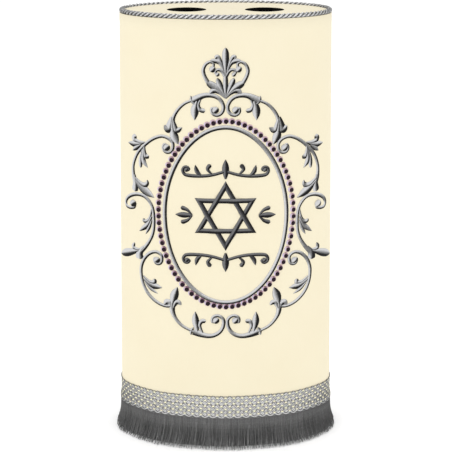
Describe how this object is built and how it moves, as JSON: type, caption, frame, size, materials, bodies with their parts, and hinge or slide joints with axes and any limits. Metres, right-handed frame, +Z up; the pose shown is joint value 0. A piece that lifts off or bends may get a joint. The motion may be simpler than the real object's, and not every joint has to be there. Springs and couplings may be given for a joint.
{
  "type": "torah mantle",
  "caption": "Oval cloth mantle for a scroll, open below, with a stiff top panel holed for the staves, a cord edge, raised scrollwork and a braided, fringed hem.",
  "frame": {"origin": "centre of the oval on the surface that the hem stands on", "axes": "+Z up along the scroll, +X to the right along the long way of the oval, -Y out of the embroidered front"},
  "size_m": [0.3908, 0.2576, 0.7478],
  "materials": {
    "cream_cloth": "smooth cream cloth with a soft, low sheen",
    "panel_cloth": "the same cream cloth, stretched over a stiff board",
    "silver_cord": "twisted metallic silver yarn",
    "silver_braid": "open lattice braid of metallic silver thread",
    "grey_fringe": "dark grey cut yarn, paler at the tips",
    "silver_stitch": "padded satin stitch in metallic silver thread",
    "dark_stitch": "padded satin stitch in dark grey thread"
  },
  "bodies": {
    "root": {"cloth_wall": "cream_cloth", "top_panel": "panel_cloth", "edge_cord": "silver_cord", "lattice_braid": "silver_braid", "fringe": "grey_fringe", "medallion_ring": "silver_stitch", "crest": "silver_stitch", "scroll_crown_right": "silver_stitch", "scroll_crown_left": "silver_stitch", "scroll_shoulder_right": "silver_stitch", "scroll_shoulder_left": "silver_stitch", "scroll_flank_right": "silver_stitch", "scroll_flank_left": "silver_stitch", "scroll_foot_right": "silver_stitch", "scroll_foot_left": "silver_stitch", "centre_star": "dark_stitch", "divider_upper": "dark_stitch", "divider_lower": "dark_stitch", "sprig_right": "dark_stitch", "sprig_left": "dark_stitch"}
  },
  "joints": []
}
